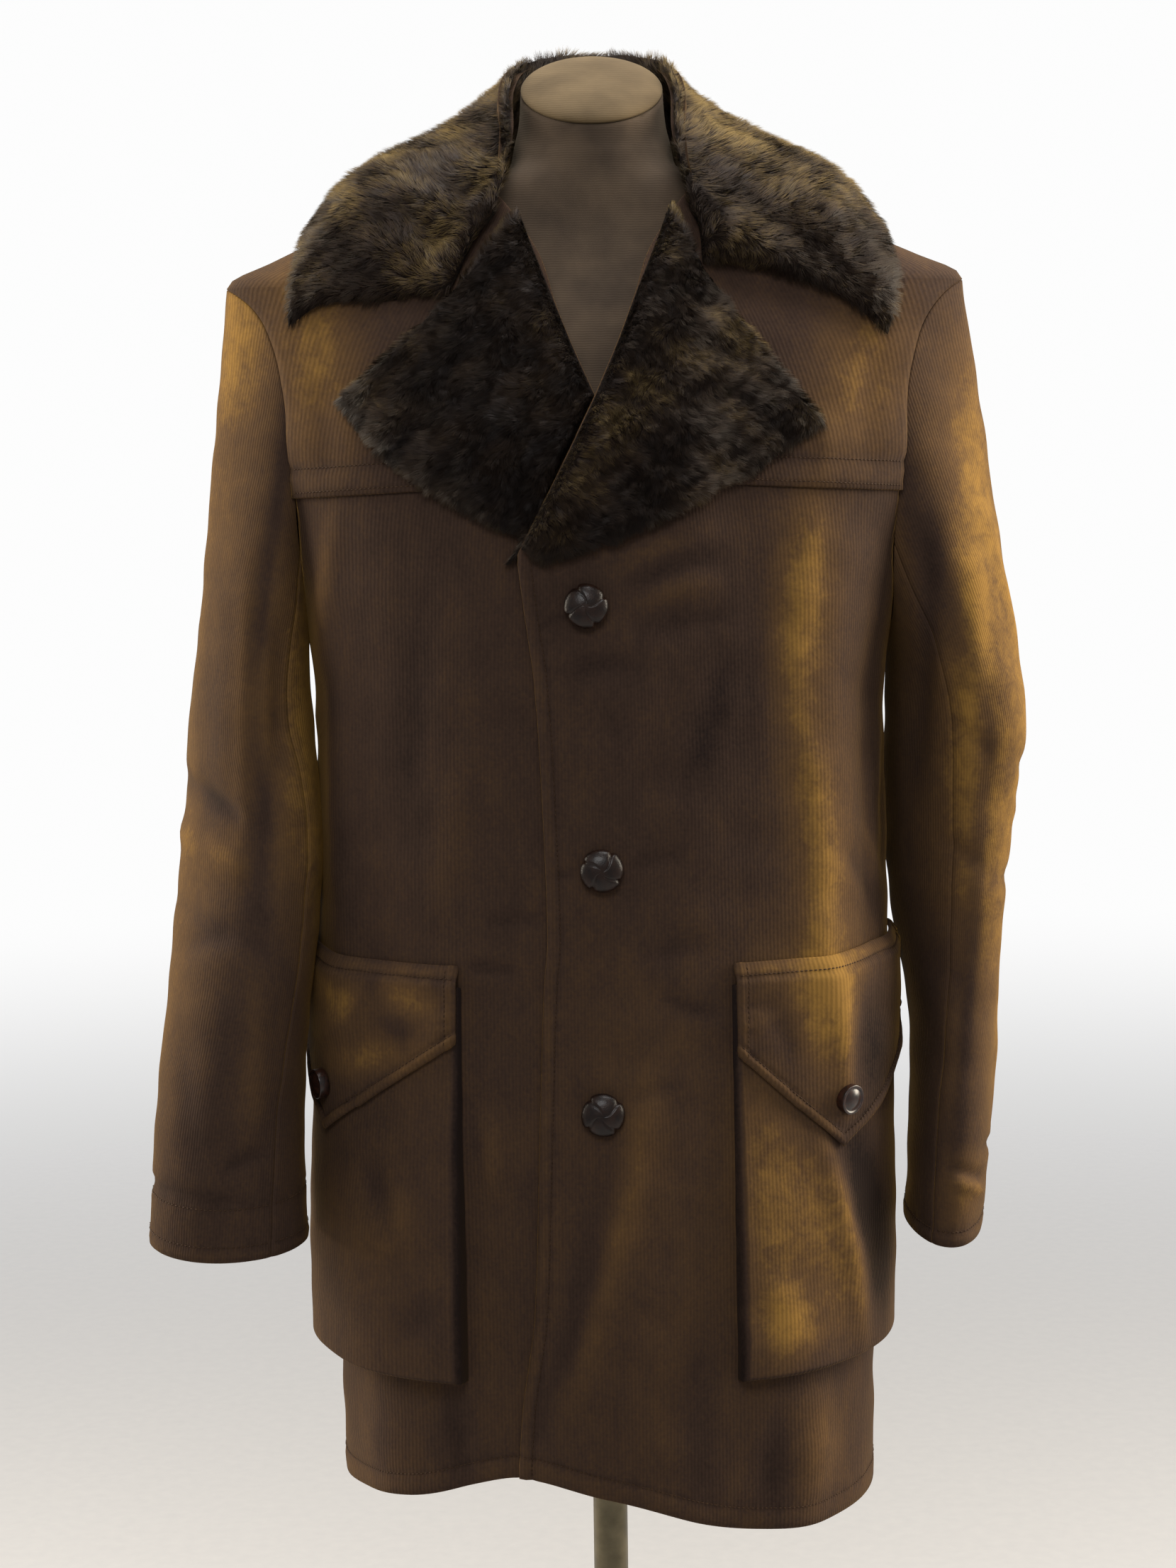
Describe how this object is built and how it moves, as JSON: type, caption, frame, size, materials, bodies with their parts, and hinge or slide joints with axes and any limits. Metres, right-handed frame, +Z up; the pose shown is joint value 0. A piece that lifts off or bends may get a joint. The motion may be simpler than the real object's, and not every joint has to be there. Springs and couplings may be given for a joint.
{
  "type": "corduroy coat on a dress form",
  "caption": "Thigh-length corduroy car coat with a wide pile collar and lapels, yokes, flapped bellows pockets and a buttoned front, on a limbless dress form with a pole and round base.",
  "frame": {"origin": "middle of the stand's underside, on the floor", "axes": "+Z up along the pole, -Y the way the coat's front faces, +X the wearer's left"},
  "size_m": [0.6087, 0.35, 1.6082],
  "materials": {
    "corduroy": "napped fine-wale cotton cord",
    "fur_pile": "dense matted pile",
    "plaited_leather": "polished plait",
    "dark_horn": "polished",
    "form_jersey": "stretched jersey",
    "cap_jersey": "stretched jersey",
    "stand_metal": "satin"
  },
  "bodies": {
    "root": {"back": "corduroy", "left_front": "corduroy", "right_front": "corduroy", "left_yoke": "corduroy", "right_yoke": "corduroy", "left_top_sleeve": "corduroy", "right_top_sleeve": "corduroy", "left_under_sleeve": "corduroy", "right_under_sleeve": "corduroy", "left_pocket": "corduroy", "right_pocket": "corduroy", "left_flap": "corduroy", "right_flap": "corduroy", "collar": "fur_pile", "left_lapel": "fur_pile", "right_lapel": "fur_pile", "front_button_1": "plaited_leather", "front_button_2": "plaited_leather", "front_button_3": "plaited_leather", "left_flap_button": "dark_horn", "right_flap_button": "dark_horn", "form_torso": "form_jersey", "form_neck_cap": "cap_jersey", "stand_socket": "stand_metal", "stand_pole": "stand_metal", "stand_base": "stand_metal"}
  },
  "joints": []
}
